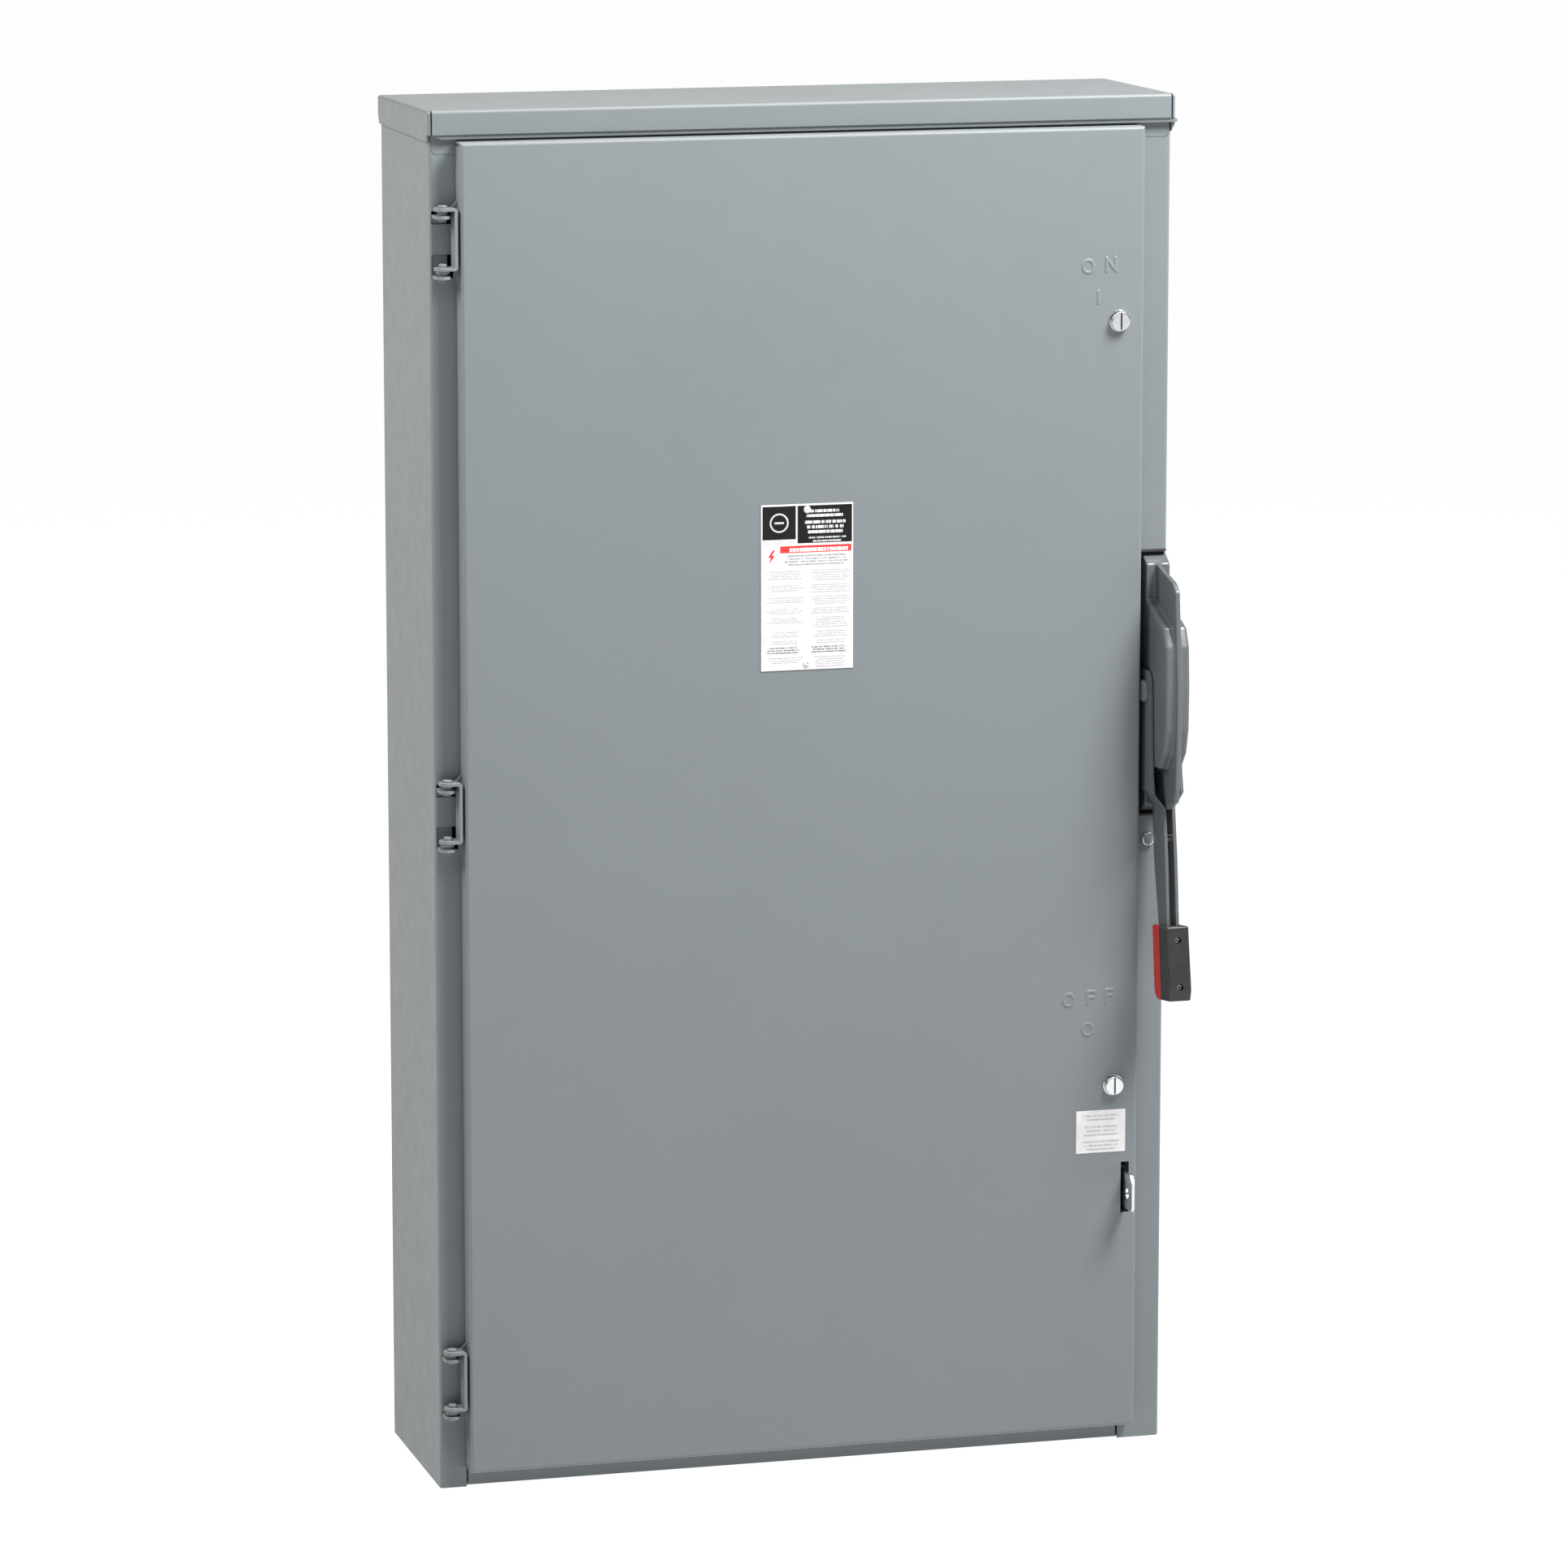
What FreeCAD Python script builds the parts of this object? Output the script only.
import FreeCAD, Part
import math
import os
import re
import Sketcher
from FreeCAD import Placement, Rotation, Vector

# Outdoor heavy-duty safety switch: a folded steel box with a rain cap, a hinged door,
# a fork handle that swings up the right-hand edge, and a three-pole fused knife switch inside.
# Frame, in millimetres: the origin is the centre of the four wall bolts on the back plane,
# +X to the right of a person facing the door, +Y into the wall, +Z up.

SIZES = {
    # case
    "half_width": 351, "depth": 204, "half_tall": 639, "sheet": 2, "bend": 3,
    "left_flange": 40, "right_flange": 70, "lip_left": 25, "lip_right": 41.2, "lip_tall": 35,
    "lip_gap": 1.6, "foot_step": 1.4, "seam_gap": 0.3, "seam_corner": 5.3,
    "flange_top": 601.5, "wall_bolt_x": 508, "wall_bolt_z": 1168.4, "wall_bolt_hole": 5.6,
    # rain cap
    "hood_lip": 22.2, "hood_front": 211, "hood_skirt": 25.5, "hood_side": 2.5, "hood_return": 5,
    "hood_rise": 3, "hood_back": 0.5, "lip_slit": 1.4, "drip_deep": 209.5, "drip_low": 615.8,
    # door
    "door_left": -326.6, "door_right": 319.5, "door_low": -621, "door_high": 613.7,
    "door_front": 226, "door_back": 205, "corner_slit": 1.2,
    "screw_x": 295.5, "screw_top": 435, "screw_low": -288, "screw_shank": 3.175,
    "screw_head": 8.75, "screw_slot": 1.7, "slot_depth": 2.4,
    "slot_left": 304, "slot_right": 312, "slot_low": -412.5, "slot_high": -363.3,
    # hinges
    "hinge_top": 526.9, "hinge_middle": 2, "hinge_bottom": -533, "pin_x": -341.5,
    "pin_y": -216, "pin": 3.1, "pin_hole": 3.15, "strap_half": 28.4, "strap": 3,
    "strap_round": 8, "web_x": -332, "gusset": 5.5, "collar": 4.2, "washer_play": 0.1,
    "ear_round": 7.2, "ear": 3, "ear_room": 0.3, "window_left": -349, "window_wide": -328.8,
    "upper_drop": 4.2, "lower_drop": 5, "washer_thick": 1.2, "head_edge": 0.9,
    # padlock hasp
    "hasp_x": 306.5, "hasp_thick": 2.5, "hasp_reach": 253, "hasp_hole": 5,
    "hasp_low": -408.5, "hasp_high": -372.5, "hasp_slot_left": 299, "hasp_slot_right": 315.4,
    # labels
    "label_left": -47.8, "label_right": 40, "label_low": 121.4, "label_high": 275.5,
    "label_thick": 0.6, "rivet_round": 1.8, "sticker_left": 259.4, "sticker_right": 308,
    "sticker_low": -353, "sticker_high": -312, "sticker_thick": 0.3, "rivet": 3.6,
    # notch and bonnet
    "notch_left": 321, "notch_low": -35.8, "notch_high": 216.7, "notch_deep": 32, "rim": 2.2,
    "bonnet_left": 328.3, "bonnet_right": 351.7, "bonnet_front": 213, "bonnet_wall": 2.5,
    "bonnet_low": -33, "bonnet_high": 214, "fin_left": 337.6, "fin_right": 342.4,
    # handle
    "handle_x": 340, "pivot_y": -225, "pivot_z": 87, "pivot": 6, "pivot_head": 10.5,
    "head_tall": 4.5,
    "arm": 3, "arm_out": 15.5, "neck_out": 6, "cross_y": -240, "cross_z": -51, "cross": 4,
    "grip_half": 11.15, "grip_tall": 70, "grip_front_deep": 24, "grip_rear_deep": 20,
    "grip_y": -262, "grip_z": -165.7, "grip_lean": -7.5, "grip_round": 3, "grip_edge": 2,
    "grip_heel": 12, "grip_flare": 1.7, "grip_screw_head": 2.6,
    # switch
    "pole_gap": 120, "pole_mid": -30, "base_half": 190, "base_front": 56, "pan_front": 16,
    "pan_half_x": 250, "pan_half_z": 480, "axis_y": -80, "axis_z": 87, "blade": 115,
    "blade_half": 17, "blade_thick": 6, "jaw_gap": 0.35, "leaf": 3, "open_angle": 62,
    "bar_reach": 62, "bar_half": 11, "bar_deep": 21, "lever_x": 326, "lever": 4, "lever_arm": 36.5,
    "crank_arm": 20, "crank_x": 335.6, "crank_start": 79, "lever_start": 31, "link_thick": 3,
    "stub": 6,
    "running": 0.05, "lug_hole": 11.5, "chute_in": 16.2, "chute_out": 19.2,
}

os.makedirs("parts", exist_ok=True)
DOC = FreeCAD.newDocument("ac_disconnect_box")
SHEET = DOC.addObject("Spreadsheet::Sheet", "Sizes")
for row, (alias, number) in enumerate(SIZES.items(), start=1):
    SHEET.set("A%d" % row, alias.replace("_", " "))
    SHEET.set("B%d" % row, str(number))
    SHEET.setAlias("B%d" % row, alias)
DOC.recompute()

TURNS = {"x": Rotation(Vector(0, 1, 0), 90), "y": Rotation(Vector(1, 0, 0), -90), "z": Rotation()}
NODES = []


def bound(text):
    """The expression with each alias spelt as a cell of the sheet."""
    spell = lambda word: "Sizes." + word.group(0) if word.group(0) in SIZES else word.group(0)
    return re.sub(r"[a-z][a-z_]*", spell, str(text))


def bind(thing, prop, text):
    thing.setExpression(prop, bound(text))


def put(thing, x, y, z):
    for axis, text in zip("xyz", (x, y, z)):
        bind(thing, "Placement.Base." + axis, text)


def block(name, x, y, z):
    """A box from a low and a high expression on each axis."""
    box = DOC.addObject("Part::Box", name)
    for prop, (low, high) in zip(("Length", "Width", "Height"), (x, y, z)):
        bind(box, prop, "(%s) - (%s)" % (high, low))
    put(box, x[0], y[0], z[0])
    return box


def rod(name, along, centre, span, radius):
    """A cylinder along one axis; centre is its place on the other two, in X, Y, Z order."""
    cylinder = DOC.addObject("Part::Cylinder", name)
    cylinder.Placement = Placement(Vector(), TURNS[along])
    bind(cylinder, "Radius", radius)
    bind(cylinder, "Height", "(%s) - (%s)" % (span[1], span[0]))
    place = list(centre)
    place.insert("xyz".index(along), span[0])
    put(cylinder, *place)
    return cylinder


def fuse(name, pieces):
    joined = DOC.addObject("Part::MultiFuse", name)
    joined.Shapes = pieces
    joined.Refine = True
    return joined


def cut(name, base, tools):
    result = DOC.addObject("Part::Cut", name)
    result.Base = base
    result.Tool = tools[0] if len(tools) == 1 else fuse(name + "_tools", tools)
    return result


def group(name, pieces):
    compound = DOC.addObject("Part::Compound", name)
    compound.Links = pieces
    return compound


def outline(name, plane, points, span, rounds=None):
    """A padded polygon on XY, XZ or YZ. rounds maps a corner's number to a radius alias."""
    normal = {"XY": 2, "XZ": 1, "YZ": 0}[plane]
    body = DOC.addObject("PartDesign::Body", name)
    origin_plane = next(f for f in body.Origin.OriginFeatures if f.Role == plane + "_Plane")
    sketch = body.newObject("Sketcher::SketchObject", name + "_sketch")
    sketch.AttachmentSupport = [(origin_plane, "")]
    sketch.MapMode = "FlatFace"
    total = len(points)
    guess = [Vector(10 * math.cos(2 * math.pi * n / total), 10 * math.sin(2 * math.pi * n / total), 0)
             for n in range(total)]
    for n in range(total):
        sketch.addGeometry(Part.LineSegment(guess[n], guess[(n + 1) % total]))
    for n in range(total):
        sketch.addConstraint(Sketcher.Constraint("Coincident", n, 2, (n + 1) % total, 1))
    for n, place in enumerate(points):
        for kind, text, start in zip(("DistanceX", "DistanceY"), place, guess[n]):
            number = sketch.addConstraint(Sketcher.Constraint(kind, -1, 1, n, 1, start))
            sketch.renameConstraint(number, "%s_%d" % (kind[-1].lower() * 2, n))
            bind(sketch, "Constraints.%s_%d" % (kind[-1].lower() * 2, n), text)
    pad = body.newObject("PartDesign::Pad", name + "_pad")
    pad.Profile = sketch
    pad.Reversed = plane == "XZ"
    bind(pad, "Length", "(%s) - (%s)" % (span[1], span[0]))
    DOC.recompute()
    corners = [sketch.Geometry[n].StartPoint for n in range(total)]
    across = [axis for axis in range(3) if axis != normal]
    for alias in sorted(set((rounds or {}).values())):
        wanted = [corners[n] for n, radius in rounds.items() if radius == alias]
        base, edges = body.Tip, []
        for number, edge in enumerate(base.Shape.Edges, start=1):
            ends = [vertex.Point for vertex in edge.Vertexes]
            upright = len(ends) == 2 and all(abs(ends[0][a] - ends[1][a]) < 1e-6 for a in across)
            if upright and any(math.hypot(ends[0][across[0]] - c.x, ends[0][across[1]] - c.y) < 1e-4
                               for c in wanted):
                edges.append("Edge%d" % number)
        fillet = body.newObject("PartDesign::Fillet", "%s_%s" % (name, alias))
        fillet.Base = (base, edges)
        bind(fillet, "Radius", alias)
        DOC.recompute()
    place = ["0", "0", "0"]
    place[normal] = span[0]
    put(body, *place)
    return body


def rounded(name, base, alias, wanted):
    """The base with the edges that the test picks rounded to a radius from the sheet."""
    DOC.recompute()
    radius = SHEET.get(alias)
    fillet = DOC.addObject("Part::Fillet", name)
    fillet.Base = base
    fillet.Edges = [(number, radius, radius)
                    for number, edge in enumerate(base.Shape.Edges, start=1) if wanted(edge)]
    return fillet


def node(name, thing):
    """Names a finished piece and keeps it for export."""
    thing.Label = name
    NODES.append(thing)
    return thing


def along(edge, axis):
    """True for a straight edge that runs along the axis."""
    ends = [vertex.Point for vertex in edge.Vertexes]
    return len(ends) == 2 and isinstance(edge.Curve, Part.Line) and all(
        abs(ends[0][a] - ends[1][a]) < 1e-6 for a in range(3) if a != axis)


def span_of(middle, half):
    return ("(%s) - (%s)" % (middle, half), "(%s) + (%s)" % (middle, half))


# ---------------------------------------------------------------- case
HINGES = ("hinge_top", "hinge_middle", "hinge_bottom")
SEATS = ("strap_half - strap", "-strap_half")
DROPS = ("upper_drop", "lower_drop")
OPEN_WINDOWS = (("5.8", "3"), ("ear_room", "18"))
SNUG_WINDOWS = (("ear_room", "ear_room"), ("ear_room", "ear_room"))
CASE_X = ("-half_width", "half_width")


def build_case():
    """Back, sides and front flanges folded from one sheet, with a window for each hinge ear."""
    shell = outline("case_profile", "XY", [
        ("-half_width", "0"), ("-half_width", "-depth"), ("left_flange - half_width", "-depth"),
        ("left_flange - half_width", "sheet - depth"), ("sheet - half_width", "sheet - depth"),
        ("sheet - half_width", "-sheet"), ("half_width - sheet", "-sheet"),
        ("half_width - sheet", "sheet - depth"), ("half_width - right_flange", "sheet - depth"),
        ("half_width - right_flange", "-depth"), ("half_width", "-depth"), ("half_width", "0")],
        ("-half_tall", "half_tall - 2 * sheet"), {0: "bend", 1: "bend", 10: "bend", 11: "bend"})
    front = ("-depth - 1", "sheet - depth + 0.01")
    hasp_z = ("slot_low - 2", "slot_high + 2")
    sill = ("-half_tall", "lip_tall - half_tall")
    square = block("foot_square", ("half_width - bend", "half_width + 1"), ("-depth - 1", "1"),
                   ("-half_tall - 1", "bend - half_tall"))
    tools = [
        outline("top_lip_room", "XZ", lip_outline("0"), front),
        cut("foot_corner", square, [rod("foot_round", "y", ("half_width - bend", "bend - half_tall"),
                                        ("-depth - 2", "2"), "bend")]),
        block("hasp_flange_slot", ("hasp_slot_left", "hasp_slot_right"), front, hasp_z),
        block("left_lip_room", ("lip_left - half_width", "0"), front, sill),
        block("right_lip_room", ("0", "half_width - lip_right"), front, sill),
        block("handle_notch", ("notch_left", "half_width + 1"), ("-depth - 1", "notch_deep - depth"),
              ("notch_low", "notch_high")),
        rod("flange_screw_hole", "y", ("334.5", "-58"), ("-depth - 1", "9 - depth"), "3.2"),
    ]
    for n, level in enumerate(("screw_top", "screw_low")):
        tools.append(rod("flange_hole_%d" % n, "y", ("screw_x", level), ("-depth - 1", "9 - depth"), "4.5"))
    for n, (x, z) in enumerate((("-1", "-1"), ("1", "-1"), ("-1", "1"), ("1", "1"))):
        tools.append(rod("wall_hole_%d" % n, "y", (x + " * wall_bolt_x / 2", z + " * wall_bolt_z / 2"),
                         ("-2 * sheet", "1"), "wall_bolt_hole"))
    for hinge in HINGES:
        windows = SNUG_WINDOWS if hinge == "hinge_bottom" else OPEN_WINDOWS
        right = "window_left + 15" if hinge == "hinge_bottom" else "window_wide"
        for n, (below, above) in enumerate(windows):
            low, high = ear_span(hinge, n)
            tools.append(block("%s_window_%d" % (hinge, n), ("window_left", right), front,
                               ("%s - %s" % (low, below), "%s + %s" % (high, above))))
    return node("enclosure_wrapper", cut("wrapper_sheet", shell, tools))


def lip_outline(gap):
    """Outline of the top lip on the case's front, its lower corners cut on the diagonal."""
    edge = "half_width - seam_corner - " + gap
    level, wall = "flange_top + " + gap, "half_width - sheet"
    shoulder = level + " + seam_corner - sheet"
    return [("-(%s)" % edge, level), (edge, level), (wall, shoulder), (wall, "half_tall - sheet"),
            ("-(%s)" % wall, "half_tall - sheet"), ("-(%s)" % wall, shoulder)]


def ear_span(hinge, n):
    """Bottom and top of the case's ear under the upper (0) or lower (1) end of a strap."""
    high = "%s + %s - %s" % (hinge, SEATS[n], DROPS[n])
    return high + " - ear", high


def build_leaves():
    """Three brackets welded behind the left flange; their two ears reach out through its windows."""
    brackets = []
    for hinge in HINGES:
        x = span_of("pin_x", "ear_round")
        pieces = [block(hinge + "_back", x, ("sheet - depth", "sheet - depth + ear"),
                        (ear_span(hinge, 1)[0], ear_span(hinge, 0)[1]))]
        for n in range(2):
            z = ear_span(hinge, n)
            name = "%s_ear_%d" % (hinge, n)
            plate = block(name + "_plate", x, ("pin_y", "sheet - depth + 1"), z)
            nose = rod(name + "_nose", "z", ("pin_x", "pin_y"), z, "ear_round")
            hole = rod(name + "_hole", "z", ("pin_x", "pin_y"), (z[0] + " - 1", z[1] + " + 1"), "pin")
            pieces.append(cut(name, fuse(name + "_blank", [plate, nose]), [hole]))
        brackets.append(fuse(hinge + "_leaf", pieces))
    node("hinge_leaves", group("leaves", brackets))


def build_ends():
    """Top and bottom sheets, each with one front lip."""
    inside = ("sheet - half_width", "half_width - sheet")
    top_z = ("half_tall - 2 * sheet", "half_tall - sheet")
    top = fuse("top_sheet", [
        block("top_flat", CASE_X, ("-depth", "0"), top_z),
        outline("top_lip", "XZ", lip_outline("seam_gap"), ("-depth", "sheet - depth"))])
    node("top_panel", top)
    floor = "foot_step - half_tall"
    bottom = fuse("bottom_sheet", [
        block("bottom_flat", inside, ("sheet - depth", "-sheet"), (floor, floor + " + sheet")),
        block("bottom_lip", ("lip_left - half_width + lip_gap", "half_width - lip_right - lip_gap"),
              ("sheet / 2 - depth", "1.5 * sheet - depth"), (floor, "lip_tall - half_tall - seam_gap"))])
    node("bottom_panel", bottom)


def build_hood():
    """Rain cap: a folded lid that rises to the front, with side skirts, a front lip and a drip rail."""
    wide = ("-half_width - hood_side", "half_width + hood_side")
    low, skirt = "half_tall + hood_rise - hood_lip", "half_tall - hood_skirt"
    outer = outline("hood_outer", "YZ", [
        ("0", "half_tall + hood_back"), ("-hood_front", "half_tall + hood_rise"), ("-hood_front", low),
        ("-depth - 1", low), ("-depth - 1", skirt), ("0", skirt)], wide)
    soft = rounded("hood_bent", outer, "bend", lambda e: e.BoundBox.ZMin > SHEET.get("half_tall") or
                   (along(e, 2) and e.BoundBox.YMax < -SHEET.get("depth")))
    inner = ("sheet - half_width - hood_side", "half_width + hood_side - sheet")
    room = outline("hood_room", "YZ", [
        ("1", "half_tall + hood_back - sheet"), ("sheet - hood_front", "half_tall + hood_rise - sheet"),
        ("sheet - hood_front", skirt + " - 1"), ("1", skirt + " - 1")], inner)
    heel = outline("hood_heel", "YZ", [
        ("-6", skirt + " - 1"), ("1", skirt + " - 1"), ("1", skirt + " + 9")], wide)
    slits = [block("hood_slit_" + side, span, ("-hood_front - 1", "hood_return - hood_front"),
                   (low + " - 1", "half_tall + hood_rise + 1"))
             for side, span in (("left", ("-half_width + 0.4", "-half_width + 0.4 + lip_slit")),
                                ("right", ("half_width - 0.4 - lip_slit", "half_width - 0.4")))]
    lid = cut("hood_lid", soft, [room, heel] + slits)
    rail = outline("drip_rail", "XZ", [
        ("-half_width + 1", low + " - 0.5"), ("half_width + 4.5", low + " - 0.5"),
        ("half_width + 4.5", "drip_low"), ("-half_width + 11", "drip_low")], ("-drip_deep", "-depth"), {1: "head_edge", 2: "head_edge"})
    hem = block("hood_hem", ("-half_width + 2.5", "half_width - 2.5"), ("sheet - hood_front - 0.5", "-depth"),
                (low + " - 0.5", low + " + 1.5"))
    wedge = outline("skirt_wedge", "XZ", [
        ("half_width + 0.1", "drip_low - 9"), ("half_width + 3.5", "drip_low - 2"),
        ("half_width + 3.5", "drip_low + 1"), ("half_width + 0.1", "drip_low + 1")], ("-depth - 1", "4 - depth"))
    node("rain_hood", fuse("hood", [lid, rail, hem, wedge]))


def build_door():
    """Door pan: one sheet with four returns, open slits where the returns meet."""
    x, z = ("door_left", "door_right"), ("door_low", "door_high")
    blank = block("door_blank", x, ("-door_front", "-door_back"), z)
    soft = rounded("door_bent", blank, "bend", lambda e: e.BoundBox.YMax < 0.1 - SHEET.get("door_front"))
    tools = [
        block("door_room", ("door_left + sheet", "door_right - sheet"),
              ("sheet - door_front", "1 - door_back"), ("door_low + sheet", "door_high - sheet")),
        block("hasp_slot", ("slot_left", "slot_right"), ("-door_front - 1", "sheet - door_front + 1"),
              ("slot_low", "slot_high")),
    ]
    for n, level in enumerate(("screw_top", "screw_low")):
        tools.append(rod("door_hole_%d" % n, "y", ("screw_x", level),
                         ("-door_front - 1", "sheet - door_front + 1"), "screw_shank + 0.6"))
    slit = ("-door_front + 5", "1 - door_back")
    for n, (a, low) in enumerate((("door_left", "door_low + sheet"), ("door_right - 2 * sheet", "door_low + sheet"),
                                  ("door_left", "door_high - sheet - corner_slit"),
                                  ("door_right - 2 * sheet", "door_high - sheet - corner_slit"))):
        tools.append(block("door_slit_%d" % n, (a + " - 0.01", a + " + 2 * sheet + 0.01"), slit,
                           (low, low + " + corner_slit")))
    node("door_panel", cut("door", soft, tools))


def build_hinges():
    """Straps on the door, pins fixed in the case's ears, and a washer between strap and ear."""
    straps, pins, washers = [], [], []
    for hinge in HINGES:
        y = span_of("pin_y", "strap_round")
        z = span_of(hinge, "strap_half")
        block_out = block(hinge + "_u", ("pin_x", "web_x + strap"), y, z)
        bent = rounded(hinge + "_bent", block_out, "bend", lambda e: along(e, 1) and
                       e.BoundBox.XMin > SHEET.get("web_x"))
        nose = rod(hinge + "_nose", "z", ("pin_x", "pin_y"), z, "strap_round")
        room = block(hinge + "_room", ("pin_x - 9", "web_x"), ("pin_y - 9", "pin_y + 9"),
                     span_of(hinge, "strap_half - strap"))
        bore = rod(hinge + "_bore", "z", ("pin_x", "pin_y"), span_of(hinge, "strap_half + 1"), "pin_hole")
        foot = outline(hinge + "_foot", "XZ", [
            ("web_x", hinge + " - strap_half"), ("door_left", hinge + " - strap_half - gusset"),
            ("door_left", hinge + " + strap_half + gusset"), ("web_x", hinge + " + strap_half")],
            ("pin_y + strap_round - strap", "pin_y + strap_round"))
        strap = cut(hinge + "_strap", fuse(hinge + "_whole", [bent, nose]), [room, bore])
        straps.append(fuse(hinge + "_bracket", [strap, foot]))
        for n, (ring_round, ring, head_round, tall) in enumerate((("5.2", "1.7", "4.4", "2"),
                                                                  ("6.3", "2.6", "3.8", "3"))):
            name, at = "%s_pin_%d" % (hinge, n), ("pin_x", "pin_y")
            low, high = ear_span(hinge, n)
            seat = "%s + %s" % (hinge, SEATS[n])
            top = seat + " + strap"
            shank = rod(name + "_shank", "z", at, (low, top + " + 1"), "pin")
            collar = rod(name + "_collar", "z", at, (high, "%s - %s - washer_play" % (seat, ring)), "collar")
            under = top + " + washer_play"
            cap = rod(name + "_head", "z", at, (under, "%s + %s" % (under, tall)), head_round)
            head = rounded(name + "_dome", cap, "head_edge", lambda e, cap=cap:
                           e.BoundBox.ZLength < 0.01 and e.BoundBox.ZMin > cap.Shape.BoundBox.ZMin + 1)
            tail = rod(name + "_tail", "z", at, (low + " - 2.3", low), "3.7")
            pins.append(fuse(name, [shank, collar, head, tail]))
            disc = rod(name + "_ring", "z", at, ("%s - %s" % (seat, ring), seat), ring_round)
            washers.append(cut(name + "_washer", disc, [
                rod(name + "_eye", "z", at, ("%s - %s - 1" % (seat, ring), seat + " + 1"), "pin_hole")]))
    node("hinge_brackets", group("brackets", straps))
    node("hinge_pins", group("pins", pins))
    node("hinge_washers", group("washers", washers))


def build_door_screws():
    """Slotted captive screws that turn in the door and reach through the flange into weld nuts."""
    rings, nuts = [], []
    for name, level in (("door_screw_upper", "screw_top"), ("door_screw_lower", "screw_low")):
        at = ("screw_x", level)
        head = rod(name + "_head", "y", at, ("-door_front - 6.5", "-door_front - 1"), "screw_head")
        soft = rounded(name + "_soft", head, "washer_thick", lambda e: e.BoundBox.YMax < -230)
        shank = rod(name + "_shank", "y", at, ("-door_front - 1", "8 - depth"), "screw_shank")
        slot = block(name + "_slot", span_of("screw_x", "screw_slot / 2"),
                     ("-door_front - 7", "-door_front - 6.5 + slot_depth"), span_of(level, "10"))
        node(name, fuse(name + "_body", [cut(name + "_cap", soft, [slot]), shank]))
        ring = rod(name + "_ring", "y", at, ("-door_front - 1", "-door_front"), "10")
        rings.append(cut(name + "_washer", ring, [
            rod(name + "_eye", "y", at, ("-door_front - 2", "1 - door_front"), "screw_shank + 0.3")]))
        block_nut = block(name + "_block", span_of("screw_x", "8"), ("sheet - depth", "sheet - depth + 6"),
                          span_of(level, "8"))
        nuts.append(cut(name + "_nut", block_nut, [
            rod(name + "_thread", "y", at, ("-depth", "20 - depth"), "screw_shank + 0.8")]))
    node("screw_washers", group("screw_rings", rings))
    node("weld_nuts", group("nuts", nuts))


def build_labels():
    """Label plate with two push rivets, and a small sticker."""
    face = "-door_front"
    node("label_plate", block("label", ("label_left", "label_right"), (face + " - label_thick", face),
                              ("label_low", "label_high")))
    rivets = []
    for n, level in enumerate(("label_high - 5", "label_low + 6")):
        head = DOC.addObject("Part::Sphere", "rivet_%d" % n)
        bind(head, "Radius", "rivet")
        put(head, "(label_left + label_right) / 2", face + " - label_thick + 2", level)
        front = block("rivet_front_%d" % n, ("label_left", "label_right"),
                      (face + " - 9", face + " - label_thick"), span_of(level, "6"))
        dome = DOC.addObject("Part::Common", "rivet_dome_%d" % n)
        dome.Base, dome.Tool = head, front
        rivets.append(dome)
    node("label_rivets", group("rivets", rivets))
    node("small_sticker", block("sticker", ("sticker_left", "sticker_right"),
                                (face + " - sticker_thick", face), ("sticker_low", "sticker_high")))


def build_hasp():
    """Padlock tang that stands forward through both slots, on a foot behind the flange."""
    back, behind = "sheet - depth", "2 * sheet - depth"
    tang = outline("tang", "YZ", [
        (behind, "hasp_low"), ("2 - hasp_reach", "hasp_low + 2.5"), ("-hasp_reach", "hasp_low + 6"),
        ("-hasp_reach", "hasp_high - 6"), ("6 - hasp_reach", "hasp_high"), (behind, "hasp_high")],
        ("hasp_x", "hasp_x + hasp_thick"))
    foot = block("hasp_foot", ("hasp_x", "hasp_x + 24"), (back, behind), ("hasp_low", "hasp_high"))
    hole = rod("hasp_eye", "x", ("14 - hasp_reach", "-391"), ("hasp_x - 1", "hasp_x + hasp_thick + 1"),
               "hasp_hole")
    node("padlock_hasp", cut("hasp", fuse("hasp_blank", [tang, foot]), [hole]))


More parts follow.
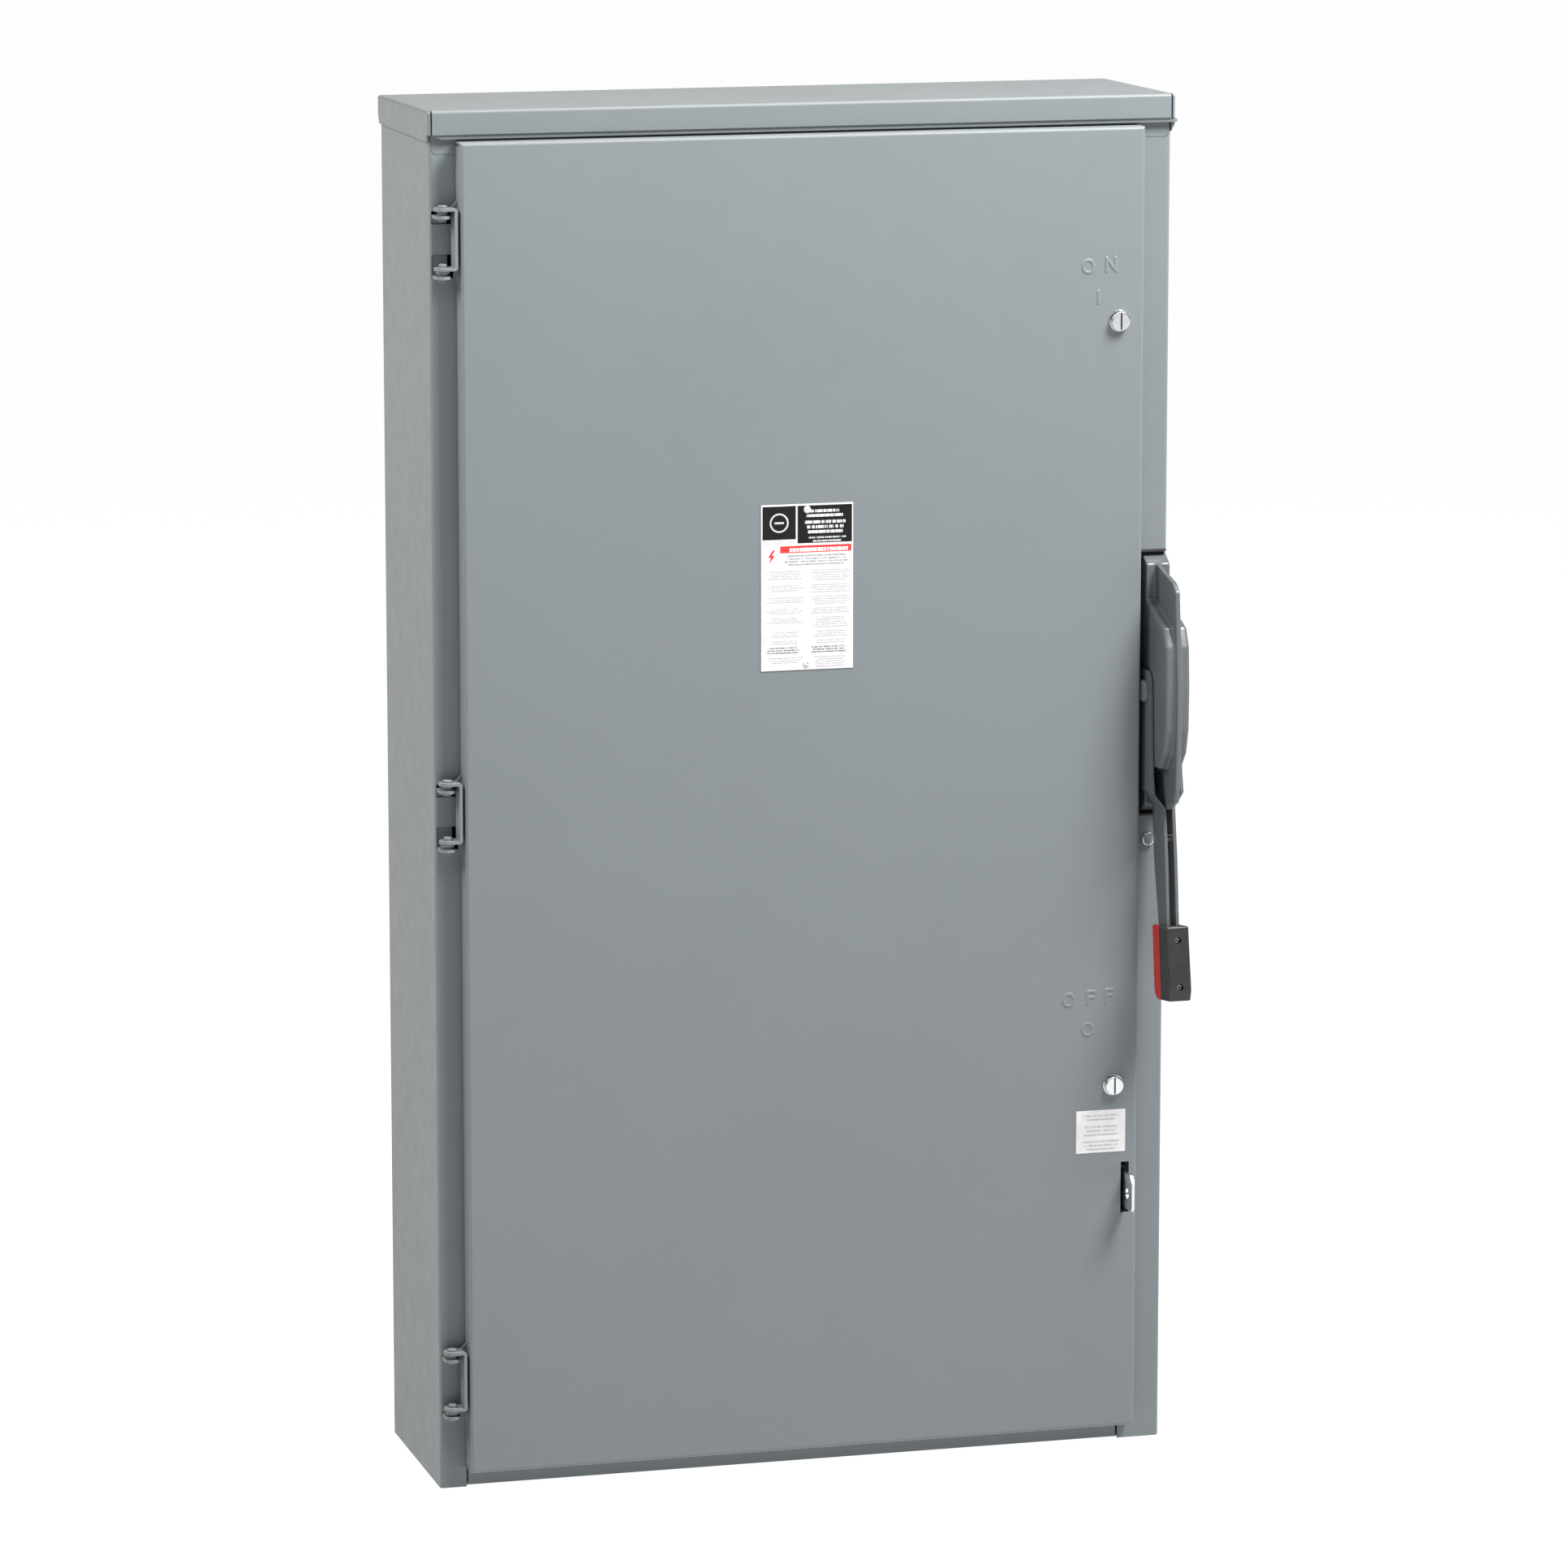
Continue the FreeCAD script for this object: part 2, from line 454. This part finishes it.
# ---------------------------------------------------------------- handle and bonnet
def build_bonnet():
    """Cast housing: a plinth that fills the notch, two shoulders and a narrow centre fin."""
    x = ("bonnet_left", "bonnet_right")
    plinth = outline("plinth", "YZ", [
        ("-172", "bonnet_low"), ("7 - depth", "bonnet_low"), ("-bonnet_front", "bonnet_low + 9"),
        ("-bonnet_front", "bonnet_high - 10"), ("7 - depth", "bonnet_high"), ("-172", "bonnet_high")],
        x, {2: "bend", 3: "bend"})
    shoulders = outline("shoulders", "YZ", [
        ("-bonnet_front + 1", "171"), ("-264", "152"), ("-273", "134"), ("-275.5", "96"), ("-274.5", "57"),
        ("-268", "33"), ("-254", "17"), ("-bonnet_front + 1", "14")],
        x, {1: "grip_round", 2: "grip_round", 4: "grip_round", 5: "grip_round", 6: "grip_round"})
    fin = outline("fin", "YZ", [
        ("-bonnet_front + 1", "204.5"), ("-263", "193"), ("-271", "186"), ("-280", "100"), ("-280", "50"),
        ("-277", "0"), ("-274", "-12"), ("-252", "-22"), ("-bonnet_front + 1", "-24")],
        ("fin_left", "fin_right"), {1: "grip_round", 2: "grip_round", 6: "bend"})
    soft = rounded("soft_shoulders", shoulders, "bend", lambda e: e.BoundBox.XLength < 0.01 and
                   e.BoundBox.YMin < -214)
    cavity = outline("bonnet_cavity", "YZ", [
        ("-171", "-20"), ("-208", "-20"), ("-208", "22"), ("-262", "38"), ("-266", "90"), ("-264", "130"),
        ("-250", "146"), ("-208", "160"), ("-208", "200"), ("-171", "200")],
        ("bonnet_left + bonnet_wall", "bonnet_right - bonnet_wall"))
    bore = rod("bonnet_bore", "x", ("pivot_y", "pivot_z"), ("bonnet_left - 1", "bonnet_right + 1"),
               "pivot + running")
    node("handle_bonnet", cut("bonnet", fuse("bonnet_solid", [plinth, soft, fin]), [cavity, bore]))
    blank = block("rim_blank", ("notch_left", "half_width"), ("-depth - 0.8", "14 - depth"),
                  ("notch_low", "notch_high"))
    outer = rounded("rim_outer", blank, "bend", lambda e: along(e, 2) and
                    e.BoundBox.YMax < -SHEET.get("depth") and e.BoundBox.XMin > SHEET.get("notch_left") + 1)
    inner = block("rim_inner", ("notch_left + rim", "half_width + 1"), ("-depth - 2", "20 - depth"),
                  ("notch_low + rim", "notch_high - rim"))
    node("notch_gasket", cut("rim", outer, [inner]))
    node("flange_screw", slotted_screw("flange_screw_body", "334.5", "-58", "-depth", "6.3", "3.6", "3.1", "8"))


def slotted_screw(name, x, z, seat, head, tall, shank, reach):
    """A pan-head screw along Y whose head stands in front of its seat, with one slot."""
    cap = rod(name + "_cap", "y", (x, z), ("%s - %s" % (seat, tall), seat), head)
    soft = rounded(name + "_soft", cap, "washer_thick", lambda e: e.BoundBox.YLength < 0.01 and
                   e.BoundBox.YMax < cap.Shape.BoundBox.YMin + 0.01)
    slot = block(name + "_slot", span_of(x, "0.7"),
                 ("%s - %s - 1" % (seat, tall), "%s - %s + 1.4" % (seat, tall)), span_of(z, head + " + 1"))
    stem = rod(name + "_stem", "y", (x, z), (seat, "%s + %s" % (seat, reach)), shank)
    return fuse(name, [cut(name + "_head", soft, [slot]), stem])


def build_arm(name, side):
    """One fork arm: a 3 mm plate with its side outline, joggled inwards below the bonnet."""
    lateral = lambda offset: "handle_x %s (%s)" % ("-" if side == "left" else "+", offset)
    joggle = outline(name + "_joggle", "XZ", [
        (lateral("arm_out"), "112"), (lateral("arm_out"), "-7"), (lateral("neck_out"), "-20"),
        (lateral("neck_out"), "-185"), (lateral("neck_out - arm"), "-185"), (lateral("neck_out - arm"), "-21.5"),
        (lateral("arm_out - arm"), "-8.5"), (lateral("arm_out - arm"), "112")],
        ("-290", "-200"), {1: "bend", 2: "bend", 5: "bend", 6: "bend"})
    side_view = outline(name + "_side", "YZ", [
        ("-212", "106"), ("-231", "106"), ("-237.5", "99"), ("-243", "11"), ("-252", "-23"),
        ("-259.7", "-68"), ("-266.5", "-132"), ("-273", "-178"), ("-252", "-178"), ("-242", "-132"),
        ("-227", "-75"), ("-220.5", "-30"), ("-218", "-16"), ("-213.5", "-3"), ("-211.5", "69")],
        (lateral("20") if side == "left" else lateral("0"), lateral("0") if side == "left" else lateral("20")),
        {0: "bend", 12: "strap_round"})
    blank = DOC.addObject("Part::Common", name + "_blank")
    blank.Base, blank.Tool = joggle, side_view
    x = ("300", "380")
    holes = [rod(name + "_pivot_hole", "x", ("pivot_y", "pivot_z"), x, "pivot"),
             rod(name + "_cross_hole", "x", ("cross_y", "cross_z"), x, "cross")]
    return node(name, cut(name + "_plate", blank, holes))


def tilted(thing):
    """Leans a grip piece with the arms, about the grip's own centre."""
    thing.Placement = Placement(Vector(), Rotation(Vector(1, 0, 0), SHEET.get("grip_lean")))
    put(thing, "0", "grip_y", "grip_z")
    return thing


def build_handle():
    arms = [build_arm("handle_arm_left", "left"), build_arm("handle_arm_right", "right")]
    studs = []
    for side, low, inner, away in (
            ("left", "handle_x - arm_out - head_tall", ("handle_x - arm_out", "bonnet_left + bonnet_wall"), -1),
            ("right", "handle_x + arm_out", ("crank_x", "handle_x + arm_out"), 1)):
        stem = rod("pivot_stem_" + side, "x", ("pivot_y", "pivot_z"), inner, "pivot")
        head = rod("pivot_head_" + side, "x", ("pivot_y", "pivot_z"), (low, low + " + head_tall"), "pivot_head")
        dome = rounded("pivot_dome_" + side, head, "bend", lambda e, away=away:
                       e.BoundBox.XLength < 0.01 and away * (e.BoundBox.XMin - SHEET.get("handle_x")) > 18)
        studs.append(fuse("pivot_stud_" + side, [stem, dome]))
    node("handle_pivot_studs", group("pivot_studs", studs))
    ends = ("handle_x - neck_out", "handle_x + neck_out")
    collar = ("handle_x - neck_out + arm", "handle_x + neck_out - arm")
    node("handle_cross_pin", fuse("cross_pin", [
        rod("cross_rod", "x", ("cross_y", "cross_z"), ends, "cross"),
        rod("cross_collar", "x", ("cross_y", "cross_z"), collar, "cross + 1.6")]))
    half = "grip_tall / 2"
    front = outline("grip_front_blank", "YZ", [
        ("0", half), ("grip_flare - grip_front_deep", half), ("-grip_front_deep - grip_flare", "10 - " + half),
        ("2 - grip_front_deep", "-" + half), ("0", "-" + half)], span_of("0", "grip_half"))
    rear = outline("grip_rear_blank", "YZ", [
        ("0", "-" + half), ("grip_rear_deep", "-" + half), ("grip_rear_deep", half), ("0", half)],
        span_of("0", "grip_half"), {1: "grip_heel"})
    off_split = lambda e: max(abs(e.BoundBox.YMin), abs(e.BoundBox.YMax)) > 0.01
    grips = {"grip_front": rounded("grip_front_soft", front, "grip_edge", off_split),
             "grip_rear": rounded("grip_rear_soft", rear, "grip_edge", off_split)}
    pockets, screws = [], []
    for n, (level, sunk) in enumerate((("22", "-20"), ("-22", "-22.4"))):
        at = ("0", level)
        pockets.append(rod("grip_pocket_%d" % n, "y", at, ("-30", sunk + " + 3"), "grip_screw_head + 0.6"))
        pockets.append(rod("grip_drill_%d" % n, "y", at, ("-30", "11"), "1.6"))
        pan = rod("grip_screw_pan_%d" % n, "y", at, (sunk, sunk + " + 3"), "grip_screw_head")
        socket = rod("grip_screw_socket_%d" % n, "y", at, (sunk + " - 1", sunk + " + 1.4"), "1.1")
        screws.append(fuse("grip_screw_%d" % n, [
            cut("grip_screw_head_%d" % n, pan, [socket]),
            rod("grip_screw_stem_%d" % n, "y", at, (sunk + " + 3", "11"), "1.6")]))
    for name, soft in grips.items():
        drilled = tilted(cut(name + "_drilled", soft, pockets))
        drilled.setExpression("Placement.Base.x", bound("handle_x"))
        node(name, cut(name + "_shell", drilled, [fuse(name + "_arms", arms)]))
    fasteners = tilted(group("grip_fasteners", screws))
    fasteners.setExpression("Placement.Base.x", bound("handle_x"))
    node("grip_screws", fasteners)


def build_drive():
    """Crank on the handle's shaft and the link that reaches back to the switch's lever."""
    x = ("crank_x", "crank_x + lever")
    pin_y = "pivot_y - crank_arm * cos(crank_start)"
    pin_z = "pivot_z - crank_arm * sin(crank_start)"
    disc = rod("crank_disc", "x", ("pivot_y", "pivot_z"), x, "13")
    end = rod("crank_end", "x", (pin_y, pin_z), x, "8")
    pin = rod("crank_pin", "x", (pin_y, pin_z), ("crank_x - 0.4 - link_thick", "crank_x"), "cross")
    hole = rod("crank_hole", "x", ("pivot_y", "pivot_z"), ("crank_x - 1", "crank_x + 9"), "pivot")
    node("drive_crank", fuse("crank", [cut("crank_plate", fuse("crank_blank", [disc, end]), [hole]), pin]))
    x = ("crank_x - 0.4 - link_thick", "crank_x - 0.4")
    bar = outline("link_bar", "YZ", [
        (pin_y + " - 9", pin_z + " - 9"), (pin_y + " + 96", pin_z + " - 9"), (pin_y + " + 106", pin_z + " - 14"),
        (pin_y + " + 142", pin_z + " - 14"), (pin_y + " + 142", pin_z + " + 14"),
        (pin_y + " + 106", pin_z + " + 14"), (pin_y + " + 96", pin_z + " + 9"), (pin_y + " - 9", pin_z + " + 9")],
        x, {0: "strap_round", 7: "strap_round", 3: "strap_round", 4: "strap_round"})
    slot = block("link_slot", ("crank_x - 9", "crank_x + 9"), (pin_y + " + 111.5", pin_y + " + 134.5"),
                 (pin_z + " - 8.2", pin_z + " + 8.8"))
    eye = rod("link_eye", "x", (pin_y, pin_z), ("crank_x - 9", "crank_x + 9"), "cross + running")
    node("drive_link", cut("link", bar, [slot, eye]))


# ---------------------------------------------------------------- switch
POLES = ["pole_mid - pole_gap", "pole_mid", "pole_mid + pole_gap"]
BASES = {"line_base": ("150", "410"), "hinge_base": ("-60", "125"), "load_base": ("-440", "-215")}


def turned_open(thing):
    """Places a rotor piece, drawn closed about its axis, at the open position."""
    thing.Placement = Placement(Vector(), Rotation(Vector(1, 0, 0), SHEET.get("open_angle")))
    put(thing, "0", "axis_y", "axis_z")
    return thing


def build_pan():
    """Back pan on four shouldered studs, and its nuts."""
    studs, holes, nuts = [], [], []
    for n, (x, z) in enumerate(((-1, -1), (1, -1), (-1, 1), (1, 1))):
        at = ("%d * (pan_half_x - 18)" % x, "%d * (pan_half_z - 20)" % z)
        shoulder = rod("stud_shoulder_%d" % n, "y", at, ("sheet - pan_front", "-sheet"), "9")
        thread = rod("stud_thread_%d" % n, "y", at, ("-pan_front - 11", "sheet - pan_front"), "4")
        studs.append(fuse("stud_%d" % n, [shoulder, thread]))
        holes.append(rod("pan_hole_%d" % n, "y", at, ("-pan_front - 1", "0"), "4"))
        hexagon = DOC.addObject("Part::Prism", "pan_nut_%d" % n)
        hexagon.Polygon = 6
        hexagon.Placement = Placement(Vector(), TURNS["y"])
        bind(hexagon, "Circumradius", "7.5")
        bind(hexagon, "Height", "6.5")
        put(hexagon, at[0], "-pan_front - 6.5", at[1])
        nuts.append(cut("pan_nut_body_%d" % n, hexagon, [
            rod("nut_thread_%d" % n, "y", at, ("-pan_front - 9", "0"), "4")]))
    node("mounting_pan", cut("pan", block("pan_sheet", span_of("0", "pan_half_x"),
         ("-pan_front", "sheet - pan_front"), span_of("0", "pan_half_z")), holes))
    node("pan_studs", group("studs", studs))
    node("pan_nuts", group("pan_nuts_group", nuts))


def build_bases():
    """Three moulded insulators with their screws, and barriers between the line-side poles."""
    screws = []
    for name, (low, high) in BASES.items():
        slab = block(name + "_slab", span_of("pole_mid", "base_half"), ("-base_front", "-pan_front"),
                     (low, high))
        soft = rounded(name + "_soft", slab, "bend",
                       lambda e: abs(e.BoundBox.YMax + SHEET.get("base_front")) < 0.01)
        holes = []
        for n, (side, level) in enumerate((("-1", low + " + 15"), ("1", low + " + 15"),
                                           ("-1", high + " - 15"), ("1", high + " - 15"))):
            at = ("pole_mid + (%s) * (base_half - 14)" % side, level)
            holes.append(rod("%s_hole_%d" % (name, n), "y", at, ("-base_front - 1", "-pan_front + 1"), "3"))
            stem = rod("%s_stem_%d" % (name, n), "y", at, ("-base_front", "-pan_front"), "3")
            cap = rod("%s_cap_%d" % (name, n), "y", at, ("-base_front - 3.5", "-base_front"), "6")
            soft_cap = rounded("%s_dome_%d" % (name, n), cap, "washer_thick", lambda e, cap=cap:
                               e.BoundBox.YLength < 0.01 and e.BoundBox.YMax < cap.Shape.BoundBox.YMin + 0.01)
            slot = block("%s_slot_%d" % (name, n), span_of(at[0], "0.7"),
                         ("-base_front - 9", "-base_front - 2.2"), span_of(at[1], "9"))
            head = cut("%s_head_%d" % (name, n), soft_cap, [slot])
            screws.append(fuse("%s_screw_%d" % (name, n), [head, stem]))
        node(name, cut(name + "_moulding", soft, holes))
    node("base_screws", group("base_screw_group", screws))
    sheets = [block("barrier_%d" % n, span_of("pole_mid %s pole_gap / 2" % sign, "1.5"),
                    ("-150", "-base_front"), ("216", "400")) for n, sign in enumerate("-+")]
    node("phase_barriers", group("barriers", sheets))


def leaves(name, pole, y, z):
    """The two side leaves of one jaw or clip, either side of a blade's thickness."""
    near = "(blade_thick / 2 + jaw_gap)"
    return [block(name + "_left", ("%s - %s - leaf" % (pole, near), "%s - %s" % (pole, near)), y, z),
            block(name + "_right", ("%s + %s" % (pole, near), "%s + %s + leaf" % (pole, near)), y, z)]


def build_copper():
    """Jaws, straps, fuse clips and lugs of the three poles."""
    made = {name: [] for name in ("line_jaws", "hinge_jaws", "hinge_pivots", "load_straps",
                                  "upper_fuse_clips", "lower_fuse_clips")}
    front = "-base_front - 4"
    for n, pole in enumerate(POLES):
        wide = span_of(pole, "16")
        strap = lambda name, z: block("%s_%d" % (name, n), wide, (front, "-base_front"), z)
        made["line_jaws"].append(fuse("line_jaw_%d" % n, [strap("line_strap", ("168", "385"))] + leaves(
            "line_leaf_%d" % n, pole, ("-102", front), ("168", "212"))))
        hinge = fuse("hinge_jaw_blank_%d" % n, [strap("hinge_strap", ("-50", "104"))] + leaves(
            "hinge_leaf_%d" % n, pole, ("-98", front), ("70", "104")))
        x = (pole + " - 20", pole + " + 20")
        made["hinge_jaws"].append(cut("hinge_jaw_%d" % n, hinge, [
            rod("hinge_eye_%d" % n, "x", ("axis_y", "axis_z"), x, "cross")]))
        outside = "(blade_thick / 2 + jaw_gap + leaf)"
        caps = [rod("pivot_cap_%d_%s" % (n, side), "x", ("axis_y", "axis_z"), span, "7")
                for side, span in (("low", ("%s - %s - 3" % (pole, outside), "%s - %s" % (pole, outside))),
                                   ("high", ("%s + %s" % (pole, outside), "%s + %s + 3" % (pole, outside))))]
        made["hinge_pivots"].append(fuse("hinge_pivot_%d" % n, caps + [
            rod("pivot_stem_%d" % n, "x", ("axis_y", "axis_z"), span_of(pole, outside), "cross")]))
        made["load_straps"].append(strap("load_strap", ("-400", "-232")))
        for name, z in (("upper_fuse_clips", ("-48", "-12")), ("lower_fuse_clips", ("-268", "-232"))):
            bridge = block("%s_bridge_%d" % (name, n), span_of(pole, outside), ("%s - leaf" % front, front), z)
            made[name].append(fuse("%s_%d" % (name, n), [bridge] + leaves(
                "%s_leaf_%d" % (name, n), pole, ("-118", front), z)))
    for name, pieces in made.items():
        node(name, group(name + "_group", pieces))
    for name, low in (("line_lug", "322"), ("load_lug", "-392")):
        lugs, screws = [], []
        for n, pole in enumerate(POLES):
            middle = low + " + 25"
            body = block("%s_block_%d" % (name, n), span_of(pole, "21"), ("-104", front),
                         (low, low + " + 50"))
            soft = rounded("%s_soft_%d" % (name, n), body, "washer_thick", lambda e: e.BoundBox.YMax < -60.1)
            cable = rod("%s_cable_%d" % (name, n), "z", (pole, "-81"), (low + " - 1", low + " + 51"), "lug_hole")
            thread = rod("%s_thread_%d" % (name, n), "y", (pole, middle), ("-106", "-81"), "7")
            lugs.append(cut("%s_%d" % (name, n), soft, [cable, thread]))
            screw = rod("%s_set_%d" % (name, n), "y", (pole, middle), ("-110", "-93.5"), "7")
            socket = DOC.addObject("Part::Prism", "%s_socket_%d" % (name, n))
            socket.Polygon = 6
            socket.Placement = Placement(Vector(), TURNS["y"])
            bind(socket, "Circumradius", "4.4")
            bind(socket, "Height", "9")
            put(socket, pole, "-111", middle)
            screws.append(cut("%s_screw_%d" % (name, n), screw, [socket]))
        node(name + "s", group(name + "_group", lugs))
        node(name + "_screws", group(name + "_screw_group", screws))


def build_chutes():
    """Arc chutes over the line jaws: a bridge-shaped housing and a stack of steel plates per pole."""
    housings, plates = [], []
    for n, pole in enumerate(POLES):
        walls = [block("chute_wall_%d_%s" % (n, side), span, ("-150", "-base_front"), ("206", "262"))
                 for side, span in (("left", (pole + " - chute_out", pole + " - chute_in")),
                                    ("right", (pole + " + chute_in", pole + " + chute_out")))]
        roof = block("chute_roof_%d" % n, span_of(pole, "chute_out"), ("-150", "-base_front - 4"),
                     ("262", "265"))
        housings.append(fuse("chute_%d" % n, walls + [roof]))
        for level in range(5):
            low = "%d" % (217 + 9 * level)
            plate = block("chute_plate_%d_%d" % (n, level), span_of(pole, "chute_in"), ("-146", "-66"),
                          (low, low + " + 1.6"))
            throat = block("chute_throat_%d_%d" % (n, level), span_of(pole, "5"), ("-147", "-110"),
                           (low + " - 1", low + " + 3"))
            plates.append(cut("chute_fin_%d_%d" % (n, level), plate, [throat]))
    node("arc_chutes", group("chutes", housings))
    node("arc_plates", group("fins", plates))


def build_rotor():
    """Three blades on one insulating bar, and the lever at the bar's right-hand end."""
    blades = []
    for n, pole in enumerate(POLES):
        x = span_of(pole, "blade_thick / 2")
        flat = block("blade_flat_%d" % n, x, span_of("0", "blade_half"), ("0", "blade"))
        soft = rounded("blade_soft_%d" % n, flat, "rivet_round", lambda e: e.BoundBox.ZMin > 114.9)
        heel = rod("blade_heel_%d" % n, "x", ("0", "0"), x, "blade_half")
        eye = rod("blade_eye_%d" % n, "x", ("0", "0"), (x[0] + " - 1", x[1] + " + 1"), "cross + running")
        blades.append(cut("blade_%d" % n, fuse("blade_blank_%d" % n, [soft, heel]), [eye]))
    bar = block("bar_blank", ("pole_mid - base_half + 30", "lever_x"), span_of("0", "bar_deep"),
                span_of("bar_reach", "bar_half"))
    soft = rounded("bar_soft", bar, "bend", lambda e: along(e, 0))
    slots = [block("bar_slot_%d" % n, span_of(pole, "blade_thick / 2"), span_of("0", "blade_half"),
                   ("0", "blade")) for n, pole in enumerate(POLES)]
    lever = outline("lever_plate", "YZ", [
        ("bar_half", "75"), ("-bar_half", "75"), ("-bar_half", "34"), ("-37", "28"), ("-41", "14"),
        ("-30", "5"), ("-14", "-14"), ("14", "-14")], ("lever_x", "lever_x + lever"),
        {0: "bend", 1: "bend", 3: "bend", 4: "strap_round", 6: "strap_round", 7: "strap_round"})
    bore = rod("lever_bore", "x", ("0", "0"), ("lever_x - 1", "lever_x + 9"), "stub + running")
    tip = ("-lever_arm * cos(lever_start)", "lever_arm * sin(lever_start)")
    pin = rod("lever_pin", "x", tip, ("lever_x + lever", "crank_x"), "cross")
    knob = rod("lever_knob", "x", tip, ("crank_x", "crank_x + 2"), "cross + 1.6")
    node("switch_blades", turned_open(group("blades", blades)))
    node("crossbar", turned_open(cut("bar", soft, slots)))
    node("drive_lever", turned_open(fuse("lever_whole", [cut("lever_drilled", lever, [bore]), pin, knob])))


def build_mechanism():
    """Side plate with the stub shaft that carries the lever, a retaining ring and the toggle spring."""
    wall = ("half_width - sheet - leaf", "half_width - sheet")
    plate = block("side_plate", wall, ("-150", "-30"), ("20", "170"))
    soft = rounded("side_plate_soft", plate, "strap_round", lambda e: along(e, 0))
    stub = rod("stub_shaft", "x", ("axis_y", "axis_z"), ("lever_x - 6", "half_width - sheet - leaf"), "stub")
    collar = rod("stub_collar", "x", ("axis_y", "axis_z"), ("lever_x + lever + 0.4", "lever_x + lever + 2.4"), "9")
    node("mechanism_plate", fuse("mechanism", [soft, stub, collar]))
    ring = rod("ring_blank", "x", ("axis_y", "axis_z"), ("lever_x - 3", "lever_x - 1"), "10")
    node("lever_retainer", cut("ring", ring, [
        rod("ring_eye", "x", ("axis_y", "axis_z"), ("lever_x - 4", "lever_x"), "stub")]))
    radius, wire, turns = 10.0, 1.2, 3
    start, end = SHEET.get("lever_x") + SHEET.get("lever") + 3.8, SHEET.get("half_width") - 6.4
    helix = Part.makeHelix((end - start) / turns, end - start, radius)
    profile = Part.Wire(Part.makeCircle(wire, Vector(radius, 0, 0), Vector(0, 1, 0)))
    coil = Part.Wire(helix).makePipeShell([profile], True, True)
    spring = DOC.addObject("Part::Feature", "spring")
    spring.Shape = coil
    spring.Placement = Placement(Vector(start, SHEET.get("axis_y"), SHEET.get("axis_z")), TURNS["x"])
    node("toggle_spring", spring)


def build_ground():
    """Ground lug on the case's back, low on the left, with its clamp screw."""
    x, z = span_of("-270", "14"), ("-566", "-526")
    body = block("ground_block", x, ("-30", "-sheet"), z)
    soft = rounded("ground_soft", body, "washer_thick", lambda e: e.BoundBox.YMax < -2.1)
    wire = rod("ground_wire", "z", ("-270", "-14"), ("-570", "-520"), "7")
    thread = rod("ground_thread", "y", ("-270", "-546"), ("-32", "-14"), "5")
    node("ground_lug", cut("ground", soft, [wire, thread]))
    screw = rod("ground_set", "y", ("-270", "-546"), ("-34", "-22"), "5")
    slot = block("ground_slot", span_of("-270", "0.8"), ("-35", "-32"), ("-556", "-536"))
    node("ground_lug_screw", cut("ground_screw", screw, [slot]))


for build in (build_case, build_leaves, build_ends, build_hood, build_door, build_hinges, build_door_screws,
              build_labels, build_hasp, build_bonnet, build_handle, build_drive, build_pan,
              build_bases, build_copper, build_chutes, build_rotor, build_mechanism, build_ground):
    build()
DOC.recompute()

for thing in DOC.Objects:
    if "Invalid" in thing.State or "Error" in thing.State:
        raise RuntimeError("%s did not build: %s" % (thing.Name, thing.State))
for thing in NODES:
    if thing.Shape.isNull() or not thing.Shape.isValid() or not thing.Shape.Solids:
        raise RuntimeError("%s has no valid shape" % thing.Label)
for thing in NODES:
    thing.Shape.exportStep("parts/%s.step" % thing.Label)
print("%d pieces written" % len(NODES))
